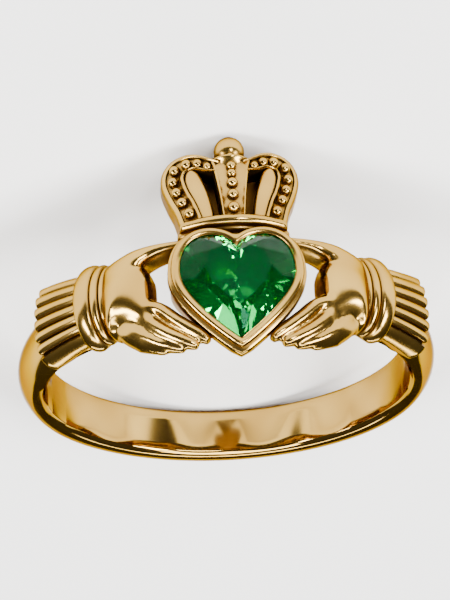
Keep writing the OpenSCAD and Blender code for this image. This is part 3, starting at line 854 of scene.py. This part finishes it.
# Tongues
# Inside each side arch stands a plain polished leaf, rounded across and pointed at the top, cast with
# the crown. A deep dark opening lies between it and the middle arch.
tongue_shares = ((0.46, 0.05, 0.37), (0.51, 0.22, 0.40), (0.575, 0.38, 0.44), (0.64, 0.51, 0.47),
                 (0.685, 0.62, 0.46), (0.70, 0.69, 0.40), (0.705, 0.735, 0.30), (0.705, 0.765, 0.12))
tongue_sunk = 0.08
tongue_round = 0.34
tongue_square = 0.15
tongue_flat = 0.1
tongue_steps = 26
across_steps = 16
for side, mirrored in sides:
    line = smooth_rows(arch_rows(tongue_shares), tongue_steps)
    loops = []
    for i, (px, pz, half) in enumerate(line):
        sx, sz = sideways(line, i)
        loop = []
        for k in range(across_steps + 1):
            t = pi * k / across_steps
            w = half * squared(cos(t), tongue_square)
            depth = tongue_sunk + tongue_round * (1 - squared(sin(t), tongue_flat))
            loop.append(on_crown(px + sx * w, pz + sz * w, depth))
        for s in (-1, 0, 1):
            loop.append(at_back(px + sx * half * s, pz + sz * half * s, crown_back))
        loops.append(loop)
    bm = bmesh.new()
    skin(bm, loops)
    finished("tongue_" + side, bm, sharp=60, mirrored=mirrored)


# Back wall
# A thin shell closes the crown behind, with the arches' outline, its inside bored with the finger
# hole. Its front between the arches is painted nearly black, as painted shade for the deep openings
# there.
wall_columns = 48
wall_rows = 6
edge_share = 0.8
foot_down = 0.45
line = smooth_rows(arch_rows(side_arch_shares), 80)
edge_right = []
for i, (px, pz, half) in enumerate(line):
    sx, sz = sideways(line, i)
    edge_right.append((px + sx * half * edge_share, pz + sz * half * edge_share))
widest = max(range(len(edge_right)), key=lambda i: edge_right[i][0])
wall_half = edge_right[widest][0] - 0.02
lower_edge = [(edge_right[0][0] - 0.01, crown_z - foot_down)] + edge_right[:widest + 1]
upper_edge = edge_right[:widest - 1:-1]


def height_at(x, edge):
    """The height of an edge at a place across the crown, or of its nearest end."""
    for (ax, az), (bx, bz) in zip(edge, edge[1:]):
        if ax <= x <= bx:
            return mix(az, bz, (x - ax) / max(bx - ax, 1e-6))
    return edge[0][1] if x < edge[0][0] else edge[-1][1]


bm = bmesh.new()
loops = []
for i in range(wall_columns + 1):
    x = wall_half * sin((2 * i / wall_columns - 1) * pi / 2)
    low = height_at(abs(x), lower_edge)
    high = height_at(abs(x), upper_edge)
    column = [mix(low, high, k / wall_rows) for k in range(wall_rows + 1)]
    loops.append([at_back(x, z, finger_r + crown_wall) for z in column]
                 + [at_back(x, z, finger_r + bore_gap) for z in reversed(column)])
skin(bm, loops)
# The faces towards the front take the dark gold, painted shade between the arches.
for face in bm.faces:
    middle = face.calc_center_median()
    face.material_index = hypot(middle.x, middle.y) > finger_r + crown_wall * 0.9
wall = finished("crown_wall", bm, sharp=50)
wall.data.materials.append(pickled_gold)


# Orb
# A ball closes the crown on a turned collar, cast with it, with one small bead at its foot, where
# the middle row of beads ends.
orb_r = 0.69
orb_back = 0.6
orb_depth = crown_front(0, crown_top) - orb_back
orb_z = crown_top + orb_r * 0.04
foot_z = orb_z - orb_r * 0.86
foot_bead_r = bead_d * 0.36
collar_sides = 48

# Columns: radius, and height over the ball's foot
collar = ((0.6, -1.2), (0.74, -0.35), (0.84, -0.14), (0.90, -0.08), (0.92, -0.02), (0.90, 0.04),
          (0.80, 0.08), (0.6, 0.1))
bm = bmesh.new()
bmesh.ops.create_uvsphere(bm, u_segments=56, v_segments=36, radius=orb_r,
                          matrix=Matrix.Translation((0, -orb_depth, orb_z)))
loops = []
for radius, height in collar:
    loop = []
    for k in range(collar_sides):
        t = 2 * pi * k / collar_sides
        loop.append(Vector((radius * cos(t), -orb_depth + radius * sin(t), foot_z + height)))
    loops.append(loop)
skin(bm, loops)
bmesh.ops.create_uvsphere(bm, u_segments=20, v_segments=14, radius=foot_bead_r,
                          matrix=Matrix.Translation((0, -orb_depth - orb_r * 0.72, foot_z + 0.16)))
finished("orb", bm, sharp=50)


# Floor
# A flat sheet of matt white paper, wide enough that no edge shows behind the ring. Its finish is
# plain, since it only carries the ring and lights it from below.
floor_half = 0.6
paper = new_material("matt_white_paper")
paper_shader = add_node(paper, "ShaderNodeBsdfPrincipled", Base_Color=linear("#F4F3F1"), Roughness=0.9)
add_node(paper, "ShaderNodeOutputMaterial", {"Surface": paper_shader.outputs["BSDF"]})
bm = bmesh.new()
bmesh.ops.create_grid(bm, x_segments=1, y_segments=1, size=floor_half)
mesh = bpy.data.meshes.new("floor")
bm.to_mesh(mesh)
bm.free()
mesh.materials.append(paper)
in_scene("floor", mesh)


# Camera
# It looks at the ring as the photograph does, from below the crown. As the ring lies crown down,
# that view comes from above the floor, with the picture's top towards the floor.
camera_azimuth = -3.928
camera_elevation = -24.0
camera_roll = -3.322
camera_distance = 110.0
camera_focal_px = 2302.5
picture_h_px = 600
camera_pan = (-0.076, 3.225)
a, e, r = radians(camera_azimuth), radians(camera_elevation), radians(camera_roll)
back = Vector((sin(a) * cos(e), -cos(a) * cos(e), sin(e)))
level = Vector((cos(a), sin(a), 0))
rise = back.cross(level)
right = level * cos(r) + rise * sin(r)
up = rise * cos(r) - level * sin(r)
stand = back * camera_distance + right * camera_pan[0] + up * camera_pan[1]
camera_data = bpy.data.cameras.new("camera")
camera_data.lens = camera_data.sensor_width * camera_focal_px / picture_h_px
camera_data.clip_start = 0.005
camera_data.clip_end = 10
camera = in_scene("camera", camera_data)
camera.matrix_world = (Matrix.Translation(laid @ stand)
                       @ (turned @ Matrix((right, up, back)).transposed()).to_4x4())
bpy.context.scene.camera = camera


# Lights
# Soft boxes round a dark room: two broad ones to the left and right, a weak one in front, a long one
# overhead and a narrow one behind. Polished gold shows both the boxes and the dark between them.
def soft_box(name, azimuth, elevation, distance, size, watts):
    """A soft box that faces the ring. At azimuth 0 it stands in front of the head."""
    a, e = radians(azimuth), radians(elevation)
    out = Vector((sin(a) * cos(e), -cos(a) * cos(e), sin(e)))
    lamp = bpy.data.lights.new(name, "AREA")
    lamp.shape = "RECTANGLE"
    lamp.size, lamp.size_y = size
    lamp.energy = watts
    box = in_scene(name, lamp)
    box.location = out * distance
    box.rotation_mode = "QUATERNION"
    box.rotation_quaternion = out.to_track_quat("Z", "Y")


# Azimuth and elevation in degrees, distance, width and height, and watts
soft_box("box_left", -64, 40, 0.4, (0.12, 0.22), 3.7)
soft_box("box_right", 70, 36, 0.4, (0.09, 0.22), 2.9)
soft_box("box_front", -16, 24, 0.4, (0.07, 0.1), 1.0)
soft_box("box_over", 4, 86, 0.45, (0.5, 0.12), 3.0)
soft_box("box_behind", 180, 30, 0.5, (0.5, 0.07), 1.6)
room = bpy.data.worlds.new("room")
bpy.context.scene.world = room
room.use_nodes = True
room_glow = room.node_tree.nodes["Background"]
room_glow.inputs["Color"].default_value = linear("#6A665F")
room_glow.inputs["Strength"].default_value = 0.7
